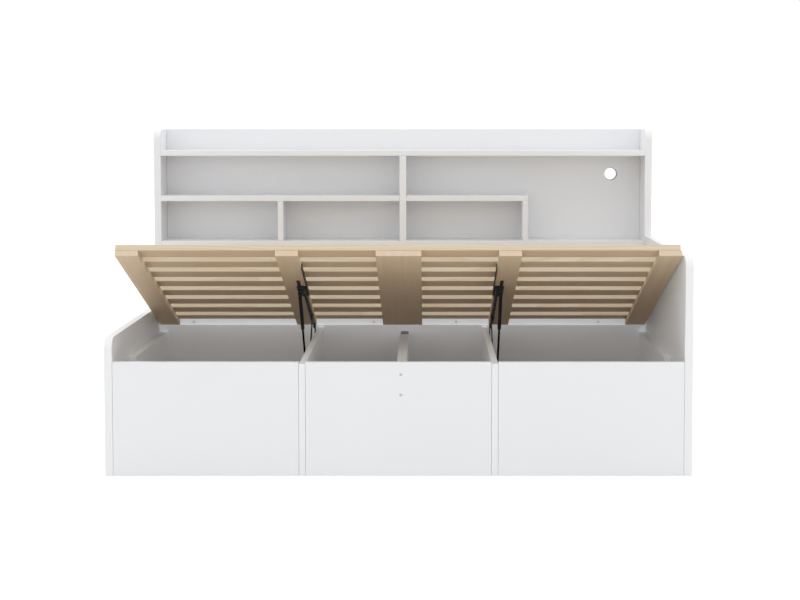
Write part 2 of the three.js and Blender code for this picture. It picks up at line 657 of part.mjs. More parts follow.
// The tube of a strut, from its eye at the origin along +Y, bored for the rod.
function cylinderGeometry() {
  const tubeStart = CYLINDER_NECK;
  const boreStart = tubeStart + CYLINDER_WALL;
  const bore = ROD_RADIUS + ROD_CLEARANCE;
  const tube = lathe([
    [0, tubeStart],
    [CYLINDER_RADIUS - CYLINDER_LIP, tubeStart],
    [CYLINDER_RADIUS, tubeStart + CYLINDER_LIP],
    [CYLINDER_RADIUS, CYLINDER_LENGTH - CYLINDER_LIP],
    [CYLINDER_RADIUS - CYLINDER_LIP, CYLINDER_LENGTH],
    [bore, CYLINDER_LENGTH],
    [bore, boreStart],
    [0, boreStart],
  ]);
  const neck = rod(ROD_RADIUS, PIN_RADIUS, tubeStart + OVERRUN, 'y');
  const eye = rod(EYE_RADIUS, -EYE_WIDTH / 2, EYE_WIDTH / 2);
  const hole = rod(PIN_RADIUS + PIN_CLEARANCE, -EYE_WIDTH, EYE_WIDTH);
  return toGeometry(cutBy(joined([tube, neck, eye]), [hole]));
}

// The rod of a strut, on the same axis as its tube; its foot and bolt turn on the boss of the plate.
function rodGeometry(length) {
  const shaft = rod(ROD_RADIUS, CYLINDER_LENGTH - ROD_ENGAGEMENT, length - PIN_RADIUS, 'y');
  const eye = rod(EYE_RADIUS, -EYE_WIDTH / 2, EYE_WIDTH / 2);
  const bolt = rod(PIN_HEAD_RADIUS, EYE_WIDTH / 2 - OVERRUN, EYE_WIDTH / 2 + PIN_HEAD_THICKNESS);
  return toGeometry(joined([shaft, eye.translate(0, length, 0), bolt.translate(0, length, 0)]));
}

function addLift(word, side) {
  addSided(`base_plate_${word}`, side, basePlateGeometry());
  addSided(`lift_bracket_${word}`, side, bracketGeometry(), { group: base });
  addLink(`front_link_${word}`, side, frontBase, raised(FRONT_PIVOT_DEPTH), true);
  addLink(`rear_link_${word}`, side, rearBase, raised(REAR_PIVOT_DEPTH), false);
  const run = strutFoot.clone().sub(strutTop);
  const place = { x: side * STRUT_PLANE, y: strutTop.x, z: strutTop.y, turn: Math.atan2(run.y, run.x) };
  addSided(`gas_cylinder_${word}`, side, cylinderGeometry(), place);
  addSided(`gas_rod_${word}`, side, rodGeometry(run.length()), place);
}

addBedBox();
addHeadboardPanels();
addShelves();
addDividers();
addRails();
addSlats();
addLift('left', -1);
addLift('right', 1);

export default bed;
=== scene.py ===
# %% [markdown]
# A daybed with a storage headboard, its slatted base raised on gas struts. The shapes come from the
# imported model, in metres: X runs along the bed, Y from its open front to the wall. This lesson dresses
# them. Each step first says what the real piece or finish is, then builds it.

import json
import math
import random

import bmesh
import bpy
from mathutils import Matrix, Vector

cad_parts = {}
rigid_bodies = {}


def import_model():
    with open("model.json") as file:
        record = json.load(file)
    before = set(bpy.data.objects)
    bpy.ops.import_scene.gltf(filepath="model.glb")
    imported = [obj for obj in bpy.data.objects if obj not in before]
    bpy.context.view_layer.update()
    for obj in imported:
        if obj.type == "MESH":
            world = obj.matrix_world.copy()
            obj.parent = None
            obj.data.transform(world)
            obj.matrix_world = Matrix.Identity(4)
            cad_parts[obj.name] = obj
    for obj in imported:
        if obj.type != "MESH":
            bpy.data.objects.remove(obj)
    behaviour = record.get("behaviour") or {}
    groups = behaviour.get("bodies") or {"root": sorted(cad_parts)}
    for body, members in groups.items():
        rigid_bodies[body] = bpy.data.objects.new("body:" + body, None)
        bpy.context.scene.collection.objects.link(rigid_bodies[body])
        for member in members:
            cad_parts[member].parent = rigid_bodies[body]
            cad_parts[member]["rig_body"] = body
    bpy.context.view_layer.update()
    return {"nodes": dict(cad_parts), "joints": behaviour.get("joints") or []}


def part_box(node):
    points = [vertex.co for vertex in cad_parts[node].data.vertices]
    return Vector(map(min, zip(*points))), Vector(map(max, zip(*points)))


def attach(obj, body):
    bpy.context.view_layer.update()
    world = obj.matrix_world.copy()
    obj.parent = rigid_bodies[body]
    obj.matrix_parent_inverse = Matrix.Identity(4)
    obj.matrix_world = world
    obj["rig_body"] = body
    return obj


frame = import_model()
nodes = frame["nodes"]

# %% [markdown]
# The photograph was taken square on, from a little right of the middle and just above the headboard, and
# its upright edges stay upright. A level camera with a shift does that, but a large shift pushes the bed
# out of the picture in other views. So a small pitch does most of the way down, and the shift stays
# small.

# %% Camera
CAMERA_PLACE = (0.09703, -5.88524, 1.20258)
CAMERA_PITCH = math.radians(3.5)
CAMERA_LENS = 70.674  # mm, on a sensor 36 mm wide
CAMERA_SHIFT = (-0.03375, -0.1018)

camera_data = bpy.data.cameras.new("camera")
camera_data.lens = CAMERA_LENS
camera_data.shift_x, camera_data.shift_y = CAMERA_SHIFT
camera = bpy.data.objects.new("camera", camera_data)
camera.location = CAMERA_PLACE
camera.rotation_euler = (math.pi / 2 - CAMERA_PITCH, 0, 0)
bpy.context.scene.collection.objects.link(camera)
bpy.context.scene.camera = camera
bpy.context.scene.view_settings.view_transform = "Standard"
print("camera at", CAMERA_PLACE, "lens", CAMERA_LENS)

# %% [markdown]
# Every finish below is a small graph of shader nodes. Three helpers keep the graphs short to write.
# Colours are picked on a screen, where they are stored as sRGB, while the renderer adds light in linear
# values, so one function turns a hex colour to linear, by the formula of the sRGB standard. Another adds
# a node with its settings and its links, and the third starts a material with an empty graph.

# %% Helpers for shader nodes
def linear(hex_colour):
    """The linear RGBA value of an sRGB hex colour."""
    parts = [int(hex_colour[i:i + 2], 16) / 255 for i in (1, 3, 5)]
    return (*[p / 12.92 if p <= 0.04045 else ((p + 0.055) / 1.055) ** 2.4 for p in parts], 1)


def node(tree, kind, settings=None, **inputs):
    """Adds a node. An input is a value or another node's output. The first unnamed input is called _0."""
    made = tree.nodes.new(kind)
    for name, value in (settings or {}).items():
        setattr(made, name, value)
    for name, value in inputs.items():
        socket = made.inputs[int(name[1:])] if name[0] == "_" else made.inputs[name.replace("_", " ")]
        if isinstance(value, bpy.types.NodeSocket):
            tree.links.new(value, socket)
        else:
            socket.default_value = value
    return made


def new_material(name):
    """A material and its empty node tree."""
    material = bpy.data.materials.new(name)
    material.use_nodes = True
    material.node_tree.nodes.clear()
    return material, material.node_tree


print("white in linear values:", linear("#FFFFFF"))

# %% [markdown]
# The studio has large soft walls of light, the way furniture is shown in a catalogue. Area lamps could
# stand for them, but each would need a size and a distance that fit the bed. Here the sky itself shines
# instead. Each wall is strongest where a ray looks straight at it and fades with the cosine of the angle:
# one above, one at each side, a little more on the left, and a faint one behind. In front stands one long
# window, low above the horizon, that reaches in under the raised base and into the shelves. What the
# camera and shiny metal see of the sky is plain white.

# %% Soft sky
SOFT_WALLS = {(-1, 0, 0): 0.7, (1, 0, 0): 0.58, (0, 0, 1): 1.2, (0, 1, 0): 0.3}  # direction: strength
WINDOW_STRENGTH = 0.9
WINDOW_LEVEL = 0.2  # sine of the angle from the horizon to its middle
WINDOW_REACH = 0.25  # from its middle to where it has faded
SHOWN_WHITE = 1.02


def seen_directly(tree):
    """1 for rays from the camera, or from metal and glass that mirror the background."""
    path = node(tree, "ShaderNodeLightPath")
    mirrored = node(tree, "ShaderNodeMath", {"operation": "MAXIMUM"},
                    _0=path.outputs["Is Glossy Ray"], _1=path.outputs["Is Transmission Ray"])
    return node(tree, "ShaderNodeMath", {"operation": "MAXIMUM"},
                _0=path.outputs["Is Camera Ray"], _1=mirrored.outputs[0]).outputs[0]


world = bpy.data.worlds.new("studio")
world.use_nodes = True
sky = world.node_tree
sky.nodes.clear()
way = node(sky, "ShaderNodeTexCoord").outputs["Generated"]
total = 0.0
for direction, strength in SOFT_WALLS.items():
    cosine = node(sky, "ShaderNodeVectorMath", {"operation": "DOT_PRODUCT"}, _0=way, _1=direction)
    ahead = node(sky, "ShaderNodeMath", {"operation": "MAXIMUM"}, _0=cosine.outputs["Value"], _1=0.0)
    total = node(sky, "ShaderNodeMath", {"operation": "MULTIPLY_ADD"}, _0=ahead.outputs[0], _1=strength,
                 _2=total).outputs[0]
aim = node(sky, "ShaderNodeSeparateXYZ", Vector=way)
in_front = node(sky, "ShaderNodeMath", {"operation": "MULTIPLY", "use_clamp": True},
                _0=aim.outputs["Y"], _1=-1.0)
offset = node(sky, "ShaderNodeMath", {"operation": "SUBTRACT"}, _0=aim.outputs["Z"], _1=WINDOW_LEVEL)
away = node(sky, "ShaderNodeMath", {"operation": "ABSOLUTE"}, _0=offset.outputs[0])
glow = node(sky, "ShaderNodeMapRange", Value=away.outputs[0], From_Max=WINDOW_REACH,
            To_Min=WINDOW_STRENGTH, To_Max=0.0)
total = node(sky, "ShaderNodeMath", {"operation": "MULTIPLY_ADD"}, _0=in_front.outputs[0],
             _1=glow.outputs[0], _2=total).outputs[0]
lighting = node(sky, "ShaderNodeBackground", Color=linear("#FFFFFF"), Strength=total)
shown = node(sky, "ShaderNodeBackground", Color=linear("#FFFFFF"), Strength=SHOWN_WHITE)
mixed = node(sky, "ShaderNodeMixShader", _0=seen_directly(sky), _1=lighting.outputs[0], _2=shown.outputs[0])
node(sky, "ShaderNodeOutputWorld", Surface=mixed.outputs[0])
bpy.context.scene.world = world
print("walls of light:", len(SOFT_WALLS), "and one window")

# %% [markdown]
# The floor is a matt white sheet, so wide that it ends far off, where it is as white as the sky. To the
# camera and to shiny metal it is lifted to that white, and it still takes the bed's shadow. Every other
# ray meets plain matt white, so the light that it throws back under the base is that of a real floor.

# %% Floor
FLOOR_SIZE = 40
FLOOR_WHITE = "#ECECEC"
FLOOR_LIFT = 0.74  # light added to the floor where the camera sees it
FLOOR_SHARE = "#A8A8A8"  # how much of the shadow stays in it

floor_finish, tree = new_material("studio_floor")
plain = node(tree, "ShaderNodeBsdfDiffuse", Color=linear(FLOOR_WHITE))
soft = node(tree, "ShaderNodeBsdfDiffuse", Color=linear(FLOOR_SHARE))
lift = node(tree, "ShaderNodeEmission", Color=linear("#FFFFFF"), Strength=FLOOR_LIFT)
lifted = node(tree, "ShaderNodeAddShader", _0=soft.outputs[0], _1=lift.outputs[0])
surface = node(tree, "ShaderNodeMixShader", _0=seen_directly(tree), _1=plain.outputs[0],
               _2=lifted.outputs[0])
node(tree, "ShaderNodeOutputMaterial", Surface=surface.outputs[0])

bpy.ops.mesh.primitive_plane_add(size=FLOOR_SIZE)
floor = bpy.context.object
floor.name = "studio_floor"
floor.data.materials.append(floor_finish)
print("floor:", floor.name, FLOOR_SIZE, "m wide")

# %% [markdown]
# The boards are particle board faced with white melamine: paper soaked in resin and pressed on hot steel,
# which leaves a hard satin skin with a faint pearl grain. Their edges are closed with a strip of ABS,
# ironed on, that is a little smoother. A picture of a board would fit one size only, so fine noise makes
# the pearl. The shader tells a face from an edge by the direction in which it looks, so the finish is
# made once for each direction in which a board is thin. The cable hole is drilled last, so its wall is
# the bare brown chips.

# %% White melamine
MELAMINE = ("#F0F1F3", "#EDEEF0")
EDGE_STRIP = "#F0F1F2"
MELAMINE_ROUGHNESS = 0.42
EDGE_ROUGHNESS = 0.3
MELAMINE_IOR = 1.5
PEARL = 0.0025  # m; the real pearl is about 0.5 mm, drawn coarser so that it shows
PEARL_ROUGHNESS = 0.08  # what the pearl adds
PEARL_BUMP = 0.06
SKIN_DEPTH = 0.0002  # m, how deep the marks of a hard skin are
CLOUDS = 2.2  # to a metre, in the tone of a face
EDGE_COSINE = 0.5  # a face that looks less than this along the thin way is an edge
BARE_CHIPS = "#9A8468"
HOLE_FROM_SIDE = 0.121  # m
HOLE_BELOW_SHELF = 0.077
HOLE_REACH = 0.04  # a little past the wall of the hole

panel_low, panel_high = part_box("headboard_back_panel")
hole_place = Vector((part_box("headboard_side_right")[0].x - HOLE_FROM_SIDE, (panel_low.y + panel_high.y) / 2,
                     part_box("top_shelf")[0].z - HOLE_BELOW_SHELF))


def melamine(axis):
    """White melamine for boards that are thin along one axis, 0, 1 or 2."""
    material, tree = new_material("white_melamine_" + "xyz"[axis])
    place = node(tree, "ShaderNodeTexCoord")
    facing = node(tree, "ShaderNodeSeparateXYZ", Vector=place.outputs["Normal"])
    across = node(tree, "ShaderNodeMath", {"operation": "ABSOLUTE"}, _0=facing.outputs[axis])
    edge = node(tree, "ShaderNodeMath", {"operation": "LESS_THAN"}, _0=across.outputs[0], _1=EDGE_COSINE)
    pearl = node(tree, "ShaderNodeTexNoise", Vector=place.outputs["Object"], Scale=1 / PEARL, Detail=2.0)
    cloud = node(tree, "ShaderNodeTexNoise", Vector=place.outputs["Object"], Scale=CLOUDS, Detail=1.0)
    tone = node(tree, "ShaderNodeMix", {"data_type": "RGBA"}, _0=cloud.outputs[0],
                _6=linear(MELAMINE[0]), _7=linear(MELAMINE[1]))
    from_hole = node(tree, "ShaderNodeVectorMath", {"operation": "DISTANCE"}, _0=place.outputs["Object"],
                     _1=hole_place)
    drilled = node(tree, "ShaderNodeMath", {"operation": "LESS_THAN"}, _0=from_hole.outputs["Value"],
                   _1=HOLE_REACH)
    rim = node(tree, "ShaderNodeMix", {"data_type": "RGBA"}, _0=drilled.outputs[0],
               _6=linear(EDGE_STRIP), _7=linear(BARE_CHIPS))
    colour = node(tree, "ShaderNodeMix", {"data_type": "RGBA"}, _0=edge.outputs[0],
                  _6=tone.outputs[2], _7=rim.outputs[2])
    rough = node(tree, "ShaderNodeMapRange", Value=edge.outputs[0], To_Min=MELAMINE_ROUGHNESS,
                 To_Max=EDGE_ROUGHNESS)
    uneven = node(tree, "ShaderNodeMath", {"operation": "MULTIPLY_ADD"}, _0=pearl.outputs[0],
                  _1=PEARL_ROUGHNESS, _2=rough.outputs[0])
    bump = node(tree, "ShaderNodeBump", Strength=PEARL_BUMP, Distance=SKIN_DEPTH, Height=pearl.outputs[0])
    skin = node(tree, "ShaderNodeBsdfPrincipled", Base_Color=colour.outputs[2], Roughness=uneven.outputs[0],
                IOR=MELAMINE_IOR, Normal=bump.outputs[0])
    node(tree, "ShaderNodeOutputMaterial", Surface=skin.outputs[0])
    return material


print("cable hole at", [round(value, 4) for value in hole_place])

# %% [markdown]
# All the white boards stay on the box and the headboard, and so does the steel of the lift that is
# screwed to them. So the boards are found by their body, less the pieces that aren't white.

# %% White boards
NOT_WHITE = ("base_plate", "floor_panel")
melamines = [melamine(axis) for axis in range(3)]


def thin_axis(name):
    """The axis along which a board is thinnest."""
    low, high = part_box(name)
    size = high - low
    return list(size).index(min(size))


def dress(name, finish):
    """Gives a solid of the frame its finish."""
    materials = nodes[name].data.materials
    materials.clear()
    materials.append(finish)


boards = [name for name in nodes if nodes[name]["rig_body"] == "root" and not name.startswith(NOT_WHITE)]
for name in boards:
    dress(name, melamines[thin_axis(name)])
print("melamine on", len(boards), "boards")

# %% [markdown]
# The bottoms of the bays are hardboard: wood fibres pressed hot and wet into a thin dark brown sheet. Its
# upper side is smooth from the press, with short fibres and darker specks that lie in every direction.
# Noise that is swirled a little gives the bundles of fibres, and a wide soft noise the mottle of the
# sheet.

# %% Hardboard
HARDBOARD_PALE = "#857057"
HARDBOARD_DEEP = "#6C5945"
HARDBOARD_ROUGHNESS = 0.62
HARDBOARD_BUMP = 0.15
FIBRE_BUNDLE = 0.004  # m
BUNDLE_SWIRL = 1.2
MOTTLES = 9.0  # to a metre
MOTTLE_WEIGHT = 0.6
MOTTLE_RANGE = (0.55, 1.05)  # the sum of both noises, from pale to deep


def hardboard():
    """Smooth pressed wood fibre, mottled by its fibre bundles."""
    material, tree = new_material("pressed_hardboard")
    place = node(tree, "ShaderNodeTexCoord")
    bundles = node(tree, "ShaderNodeTexNoise", Vector=place.outputs["Object"], Scale=1 / FIBRE_BUNDLE,
                   Detail=4.0, Distortion=BUNDLE_SWIRL)
    cloud = node(tree, "ShaderNodeTexNoise", Vector=place.outputs["Object"], Scale=MOTTLES, Detail=2.0)
    both = node(tree, "ShaderNodeMath", {"operation": "MULTIPLY_ADD"}, _0=cloud.outputs[0],
                _1=MOTTLE_WEIGHT, _2=bundles.outputs[0])
    shade = node(tree, "ShaderNodeMapRange", Value=both.outputs[0], From_Min=MOTTLE_RANGE[0],
                 From_Max=MOTTLE_RANGE[1])
    colour = node(tree, "ShaderNodeMix", {"data_type": "RGBA"}, _0=shade.outputs[0],
                  _6=linear(HARDBOARD_PALE), _7=linear(HARDBOARD_DEEP))
    bump = node(tree, "ShaderNodeBump", Strength=HARDBOARD_BUMP, Distance=SKIN_DEPTH,
                Height=bundles.outputs[0])
    sheet = node(tree, "ShaderNodeBsdfPrincipled", Base_Color=colour.outputs[2],
                 Roughness=HARDBOARD_ROUGHNESS, Normal=bump.outputs[0])
    node(tree, "ShaderNodeOutputMaterial", Surface=sheet.outputs[0])
    return material


bay_floors = sorted(name for name in nodes if name.startswith("floor_panel"))
pressed = hardboard()
for name in bay_floors:
    dress(name, pressed)
print("hardboard on", bay_floors)

# %% [markdown]
# The raised base is tilted, and both its grain and its screws follow it. Its tilt could be typed in, but
# the frame already holds it: the middles of the first and the last slat lie on a line along the base.

# %% Directions of the raised base
FRONT_SLAT_WIDTH = 0.084
SLAT_THICKNESS = 0.02
SLAT_HEIGHT = 0.0303  # from the underside of the rails to the middle of a slat

slat_names = sorted(name for name in nodes if name.startswith("slat_"))
slat_middles = [sum(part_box(name), Vector()) / 2 for name in slat_names]
base_along = (slat_middles[-1] - slat_middles[0]).normalized()
base_turn = math.atan2(base_along.z, base_along.y)
base_tilt = Matrix.Rotation(base_turn, 3, "X")
base_up = base_tilt @ Vector((0, 0, 1))
front_middle = Vector((0, slat_middles[0].y, slat_middles[0].z))
base_origin = front_middle - base_along * FRONT_SLAT_WIDTH / 2 - base_up * SLAT_HEIGHT
print("base tilted by", round(-math.degrees(base_turn), 2), "degrees from", base_origin)

# %% [markdown]
# Rails and slats are planed pine, left bare. The saw cuts across the growth rings of the trunk, so a ring
# shows as a long stripe, pale in spring and darker and narrower in late summer. A wave texture would give
# even stripes, so the rings are drawn as what they are: circles round a trunk axis. The axis lies beside
# the board and wanders a little along it, so the stripes run nearly straight, as in boards sawn from the
# side of a trunk.

# %% Growth rings
RING = 0.0062  # m between two rings
SUMMER = (0.35, 0.95)  # share of a ring at which summer wood starts, and is darkest
WANDER = 0.05  # m, the most that the axis strays
WANDER_SCALE = (0.9, 7, 7)  # strays to a metre, along and across the trunk
TRUNK_STRETCH = 0.004  # how little a place along the trunk counts beside one across it


def growth_rings(tree, board):
    """0 in spring wood and 1 in summer wood, in circles round the axis of the trunk."""
    slow = node(tree, "ShaderNodeMapping", Vector=board, Scale=WANDER_SCALE)
    drift = node(tree, "ShaderNodeTexNoise", Vector=slow.outputs[0], Scale=1.0, Detail=2.0)
    strayed = node(tree, "ShaderNodeVectorMath", {"operation": "MULTIPLY_ADD"}, _0=drift.outputs["Color"],
                   _1=(0, WANDER, WANDER), _2=board)
    section = node(tree, "ShaderNodeVectorMath", {"operation": "MULTIPLY"}, _0=strayed.outputs[0],
                   _1=(TRUNK_STRETCH, 1, 1))
    reach = node(tree, "ShaderNodeVectorMath", {"operation": "LENGTH"}, _0=section.outputs[0])
    count = node(tree, "ShaderNodeMath", {"operation": "DIVIDE"}, _0=reach.outputs["Value"], _1=RING)
    season = node(tree, "ShaderNodeMath", {"operation": "FRACT"}, _0=count.outputs[0])
    return node(tree, "ShaderNodeMapRange", {"interpolation_type": "SMOOTHSTEP"}, Value=season.outputs[0],
                From_Min=SUMMER[0], From_Max=SUMMER[1]).outputs[0]


print("rings every", RING * 1000, "mm")

# %% [markdown]
# Over the rings lie fine fibres and broader streaks, which are noise stretched along the board. Each
# board gets its own trunk, so no two show the same figure. The undersides carry painted shade: they are
# made a little deeper and warmer than the rest, as the shade under the raised base is.

# %% Pine
PINE_PALE = "#E3D6C2"
PINE_DEEP = "#CFB591"
# painted shade: the undersides of the base are multiplied by this colour, a little deeper and warmer than the
# rest
PAINTED_UNDERSIDE_SHADE = "#FFF6EA"  # what the undersides are multiplied by
UNDERSIDE_COSINE = -0.7  # to the base's own upward direction
PINE_ROUGHNESS = 0.58
RING_GLOSS = -0.1  # what summer wood adds to the roughness
PINE_BUMP = 0.25
PINE_DEPTH = 0.0003  # m
FIBRE = 0.0022  # m across one streak of fibres
FIBRES_ALONG = 2.5  # to a metre
STREAK_SCALE = (0.8, 55, 55)  # streaks to a metre, along and across
RING_WEIGHT = 0.28
FIBRE_WEIGHT = 0.34
STREAK_WEIGHT = 0.36
GRAIN_RANGE = (0.071, 0.901)  # their sum, from pale to deep
TRUNK_ALONG = 20  # m, either way, from which a board is cut
TRUNK_BESIDE = (0.13, 0.25)  # m from a board to the axis of its trunk
TRUNK_BELOW = (0.03, 0.08)
ALONG_RAILS = (0, 0, -math.pi / 2)
ALONG_SLATS = (0, 0, 0)
chance = random.Random(12)  # a fixed seed, so that the boards stay the same


def wood_grain(tree, board, ring):
    """Rings, fibres and streaks added up."""
    fine = node(tree, "ShaderNodeMapping", Vector=board, Scale=(FIBRES_ALONG, 1 / FIBRE, 1 / FIBRE))
    fibre = node(tree, "ShaderNodeTexNoise", Vector=fine.outputs[0], Scale=1.0, Detail=3.0)
    broad = node(tree, "ShaderNodeMapping", Vector=board, Scale=STREAK_SCALE)
    streak = node(tree, "ShaderNodeTexNoise", Vector=broad.outputs[0], Scale=1.0, Detail=2.0)
    lines = node(tree, "ShaderNodeMath", {"operation": "MULTIPLY"}, _0=ring, _1=RING_WEIGHT)
    flecks = node(tree, "ShaderNodeMath", {"operation": "MULTIPLY_ADD"}, _0=fibre.outputs[0],
                  _1=FIBRE_WEIGHT, _2=lines.outputs[0])
    return node(tree, "ShaderNodeMath", {"operation": "MULTIPLY_ADD"}, _0=streak.outputs[0],
                _1=STREAK_WEIGHT, _2=flecks.outputs[0]).outputs[0]


def pine(name, direction):
    """Planed pine for one board of the raised base, whose grain runs along the slats or along the rails."""
    material, tree = new_material("pine_" + name)
    place = node(tree, "ShaderNodeTexCoord")
    level = node(tree, "ShaderNodeMapping", {"vector_type": "POINT"}, Vector=place.outputs["Object"],
                 Location=base_tilt.inverted() @ -base_origin, Rotation=(-base_turn, 0, 0))
    trunk = (chance.uniform(-TRUNK_ALONG, TRUNK_ALONG), chance.uniform(*TRUNK_BESIDE),
             chance.uniform(*TRUNK_BELOW))
    board = node(tree, "ShaderNodeMapping", Vector=level.outputs[0], Location=trunk, Rotation=direction)
    ring = growth_rings(tree, board.outputs[0])
    grain = wood_grain(tree, board.outputs[0], ring)
    shade = node(tree, "ShaderNodeMapRange", Value=grain, From_Min=GRAIN_RANGE[0], From_Max=GRAIN_RANGE[1])
    colour = node(tree, "ShaderNodeMix", {"data_type": "RGBA"}, _0=shade.outputs[0],
                  _6=linear(PINE_PALE), _7=linear(PINE_DEEP))
    # painted shade: faces that look down from the base are made deeper and warmer
    upright = node(tree, "ShaderNodeVectorMath", {"operation": "DOT_PRODUCT"}, _0=place.outputs["Normal"],
                   _1=base_up)
    underside_shade_mask = node(tree, "ShaderNodeMath", {"operation": "LESS_THAN"}, _0=upright.outputs["Value"],
                     _1=UNDERSIDE_COSINE)
    shade_painted = node(tree, "ShaderNodeMix", {"data_type": "RGBA", "blend_type": "MULTIPLY"},
                  _0=underside_shade_mask.outputs[0], _6=colour.outputs[2], _7=linear(PAINTED_UNDERSIDE_SHADE))
    bump = node(tree, "ShaderNodeBump", Strength=PINE_BUMP, Distance=PINE_DEPTH, Height=grain)
    rough = node(tree, "ShaderNodeMath", {"operation": "MULTIPLY_ADD"}, _0=ring, _1=RING_GLOSS,
                 _2=PINE_ROUGHNESS)
    wood = node(tree, "ShaderNodeBsdfPrincipled", Base_Color=shade_painted.outputs[2], Roughness=rough.outputs[0],
                Normal=bump.outputs[0])
    node(tree, "ShaderNodeOutputMaterial", Surface=wood.outputs[0])
    return material


timbers = sorted(name for name in nodes if name.startswith(("rail_", "slat_")))
for name in timbers:
    dress(name, pine(name, ALONG_RAILS if name.startswith("rail_") else ALONG_SLATS))
print("pine on", len(timbers), "boards")

# %% [markdown]
# The lift is pressed from steel sheet and dipped in black electro-coat, a thin even paint with a slight
# sheen. The tubes of the gas struts are sprayed a glossier black. Their rods are ground steel, nitrided
# black, so they mirror a little. The screws are plated with zinc, which is a pale bluish metal with fine
# drawn marks. All four are one skin with different values: paint isn't metallic and bare or plated metal
# is, and the grit of the surface blurs the gloss.

# %% Steel finishes
ROUGHNESS_SPREAD = 0.08  # that the grit makes, either way


def coated_steel(name, colours, roughness, grit, bump, metallic=0.0):
    """Painted, nitrided or plated steel with a fine grit in its surface; grit is in metres."""
    material, tree = new_material(name)
    place = node(tree, "ShaderNodeTexCoord")
    grains = node(tree, "ShaderNodeTexNoise", Vector=place.outputs["Object"], Scale=1 / grit, Detail=3.0)
    rough = node(tree, "ShaderNodeMapRange", Value=grains.outputs[0], To_Min=roughness - ROUGHNESS_SPREAD,
                 To_Max=roughness + ROUGHNESS_SPREAD)
    raised = node(tree, "ShaderNodeBump", Strength=bump, Distance=SKIN_DEPTH, Height=grains.outputs[0])
    tone = node(tree, "ShaderNodeMix", {"data_type": "RGBA"}, _0=grains.outputs[0],
                _6=linear(colours[0]), _7=linear(colours[1]))
    coat = node(tree, "ShaderNodeBsdfPrincipled", Base_Color=tone.outputs[2], Roughness=rough.outputs[0],
                Metallic=metallic, Normal=raised.outputs[0])
    node(tree, "ShaderNodeOutputMaterial", Surface=coat.outputs[0])
    return material


black_coat = coated_steel("black_electro_coat", ("#121213", "#1A1A1B"), roughness=0.5, grit=0.0012,
                          bump=0.12)
black_paint = coated_steel("black_tube_paint", ("#0A0A0B", "#101011"), roughness=0.34, grit=0.004,
                           bump=0.04)
black_rod = coated_steel("nitrided_rod", ("#1C1C1D", "#242425"), roughness=0.3, grit=0.003, bump=0.02,
                         metallic=1.0)
zinc = coated_steel("zinc_plate", ("#C4C7CA", "#D4D6D8"), roughness=0.48, grit=0.0008, bump=0.1,
                    metallic=1.0)
STEEL = {"base_plate": black_coat, "lift_bracket": black_coat, "front_link": black_coat,
         "rear_link": black_coat, "gas_cylinder": black_paint, "gas_rod": black_rod}
for kind, finish in STEEL.items():
    for side in ("left", "right"):
        dress(f"{kind}_{side}", finish)
print("steel finishes:", [finish.name for finish in (black_coat, black_paint, black_rod, zinc)])

# %% [markdown]
# The small fittings that the frame leaves out are made here. Most are turned parts, so one helper turns a
# profile of radii and heights about an axis, as a lathe does. The other makes an object of it that rides
# on a body. Each could be a primitive from Blender's menu, but a profile gives the domes, lips and
# sockets of the real ones.

# %% Helpers for turned pieces
def hexagon(angle):
    """How far the flat of a hexagon lies in a direction, where its flats lie at 1."""
    part = math.radians(60)
    return 1 / math.cos(angle % part - part / 2)


def turned(made, profile, place, direction, sides, closed, six_sided=()):
    """Adds a profile of (radius, height) points turned about a direction. A closed profile is a ring."""
    turn = Vector(direction).to_track_quat("Z", "Y").to_matrix()
    loops = []
    for level, (radius, height) in enumerate(profile):
        loop = []
        for i in range(sides):
            angle = 2 * math.pi * i / sides
            r = radius * hexagon(angle) if level in six_sided else radius
            point = turn @ Vector((r * math.cos(angle), r * math.sin(angle), height))
            loop.append(made.verts.new(Vector(place) + point))
        loops.append(loop)
    for low, high in zip(loops, loops[1:] + loops[:1] if closed else loops[1:]):
        for i in range(sides):
            j = (i + 1) % sides
            made.faces.new((low[i], low[j], high[j], high[i]))
    if not closed:
        made.faces.new(loops[-1])
        made.faces.new(reversed(loops[0]))


def add_piece(name, made, finish, body, smooth=True):
    """Makes an object of a bmesh, with its finish, that rides on a body."""
    bmesh.ops.recalc_face_normals(made, faces=made.faces)
    mesh = bpy.data.meshes.new(name)
    made.to_mesh(mesh)
    made.free()
    for face in mesh.polygons:
        face.use_smooth = smooth
    mesh.materials.append(finish)
    piece = bpy.data.objects.new(name, mesh)
    bpy.context.scene.collection.objects.link(piece)
    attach(piece, body)
    print(name, "has", len(mesh.polygons), "faces")


print("a hexagon's corner lies at", round(hexagon(0), 4))

# %% [markdown]
# Screws hold the bed together, and a few are seen. A furniture bolt has a low dome with a hexagonal
# socket, so two points of its profile are pulled out to six flats. All the heads of one kind on one body
# are one mesh, which keeps the list of pieces short.

# %% Screw heads
HEAD_SIDES = 24
# Shares of the head's radius and height, from its rim over the dome down to the bottom of the socket.
HEAD_PROFILE = [(1.0, 0.0), (0.98, 0.45), (0.8, 0.85), (0.62, 1.0), (0.44, 1.0), (0.42, 0.25), (0.001, 0.2)]
SOCKET_POINTS = (4, 5)  # of the profile, from its mouth to its bottom
TO_FRONT = (0, -1, 0)


def screw_heads(name, body, places, size, finish):
    """Domed heads with a hexagonal socket, at (point, outward direction) pairs, of one (radius, height)."""
    radius, height = size
    made = bmesh.new()
    profile = [(radius * reach, height * rise) for reach, rise in HEAD_PROFILE]
    for place, outward in places:
        turned(made, profile, place, outward, HEAD_SIDES, closed=False, six_sided=SOCKET_POINTS)
    add_piece(name, made, finish, body)


print("a head has", HEAD_SIDES, "sides and", len(HEAD_PROFILE), "rings")

# %% [markdown]
# Two bolts go through the middle front panel into the beam behind it, one above the other. Four more hold
# the headboard's lower panel just above the back board. Their heights are measured from the pieces that
# they hold.

